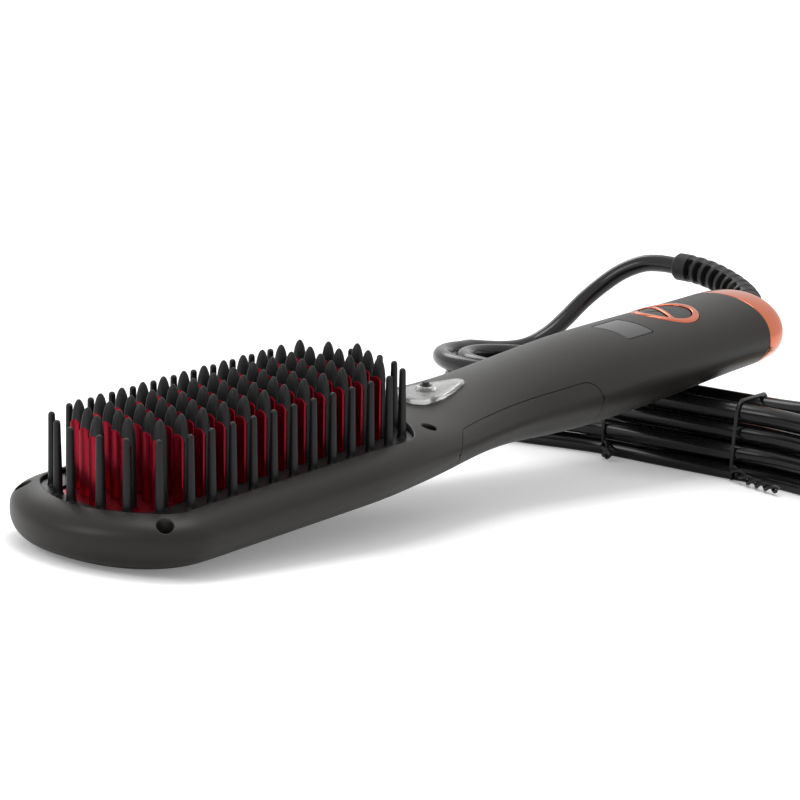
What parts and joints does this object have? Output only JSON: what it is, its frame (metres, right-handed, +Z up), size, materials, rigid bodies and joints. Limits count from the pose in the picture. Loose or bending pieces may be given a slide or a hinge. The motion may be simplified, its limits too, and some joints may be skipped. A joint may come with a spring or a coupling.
{
  "type": "steam hair straightener brush",
  "caption": "Heated steam straightening brush with bladed teeth, a lofted oval grip with buttons and display, and a mains cord tied in a hank under the grip.",
  "frame": {"origin": "on the table under the middle of the brush, at the bottom centre of its bounding box without cord, guard, ties and plug", "axes": "+X from the head to the cord end of the grip, +Z up from the table; the teeth point up and lean back with the brush, whose head lies on the table and whose grip rests on the hank"},
  "size_m": [0.3352, 0.1773, 0.0537],
  "materials": {
    "casing": "warm charcoal plastic with a soft-touch coat",
    "casing_lower": "warm charcoal plastic, soft-touch",
    "comb": "near-black heat-proof nylon, fine grain",
    "rods": "near-black nylon rods with round tops",
    "heat_plate": "crimson anodised aluminium",
    "heat_blades": "crimson anodised aluminium, satin",
    "caps": "near-black nylon, fine grain",
    "ceramic": "cream ceramic heater strip",
    "mica": "mica sheet",
    "clamp_steel": "plated spring steel",
    "fuse": "glazed fuse body with wire leads",
    "steam_metal": "cast aluminium",
    "steel": "zinc-plated steel",
    "tank": "warm charcoal plastic, soft-touch",
    "clear": "clear soft silicone",
    "valve": "black rubber",
    "pump_plastic": "white pump body",
    "tube": "soft silicone tube",
    "board": "green glass-fibre board",
    "display": "display module",
    "window": "smoked window, satin",
    "rose": "rose-gold plated trim",
    "buttons": "dark satin button",
    "switches": "tact switches",
    "end_cap": "black plastic",
    "clamp_plastic": "black plastic",
    "screws": "blackened steel",
    "guard": "black moulded rubber",
    "cord": "black satin mains cord",
    "tie": "black coated wire",
    "plug": "black moulded plug",
    "pins": "brass blades"
  },
  "bodies": {
    "brush": {"upper_shell": "casing", "head_base": "casing_lower", "grip_base": "casing_lower", "comb_frame": "comb", "guard_rods": "rods", "heat_plate": "heat_plate", "heat_blades": "heat_blades", "tooth_caps": "caps", "heaters": "ceramic", "insulation": "mica", "heater_clamp": "clamp_steel", "thermal_fuse": "fuse", "steam_box": "steam_metal", "clamp_screws": "steel", "water_tank": "tank", "pump": "pump_plastic", "water_tube": "tube", "main_board": "board", "display_module": "display", "display_window": "window", "button_bezel": "rose", "switches": "switches", "end_ring": "rose", "end_cap": "end_cap", "cord_clamp": "clamp_plastic", "case_screws": "screws", "cord_guard": "guard", "cord_lead": "cord", "cord_hank": "cord", "cord_end": "cord", "tie_near": "tie", "tie_far": "tie", "plug_body": "plug", "plug_pins": "pins"},
    "stopper": {"filler_stopper": "clear", "filler_valve": "valve"},
    "power": {"power_button": "buttons"},
    "up": {"up_button": "buttons"},
    "down": {"down_button": "buttons"}
  },
  "joints": [
    {"name": "stopper_pull", "type": "slide", "parent": "brush", "child": "stopper", "axis": [-0.1227, 0, 0.9924], "range_m": [0, 0.007]},
    {"name": "power_press", "type": "slide", "parent": "brush", "child": "power", "axis": [0.1227, 0, -0.9924], "range_m": [0, 0.0006], "stiffness_N_per_m": 600, "springref_m": -0.0005},
    {"name": "up_press", "type": "slide", "parent": "brush", "child": "up", "axis": [0.1227, 0, -0.9924], "range_m": [0, 0.0006], "stiffness_N_per_m": 600, "springref_m": -0.0005},
    {"name": "down_press", "type": "slide", "parent": "brush", "child": "down", "axis": [0.1227, 0, -0.9924], "range_m": [0, 0.0006], "stiffness_N_per_m": 600, "springref_m": -0.0005}
  ]
}
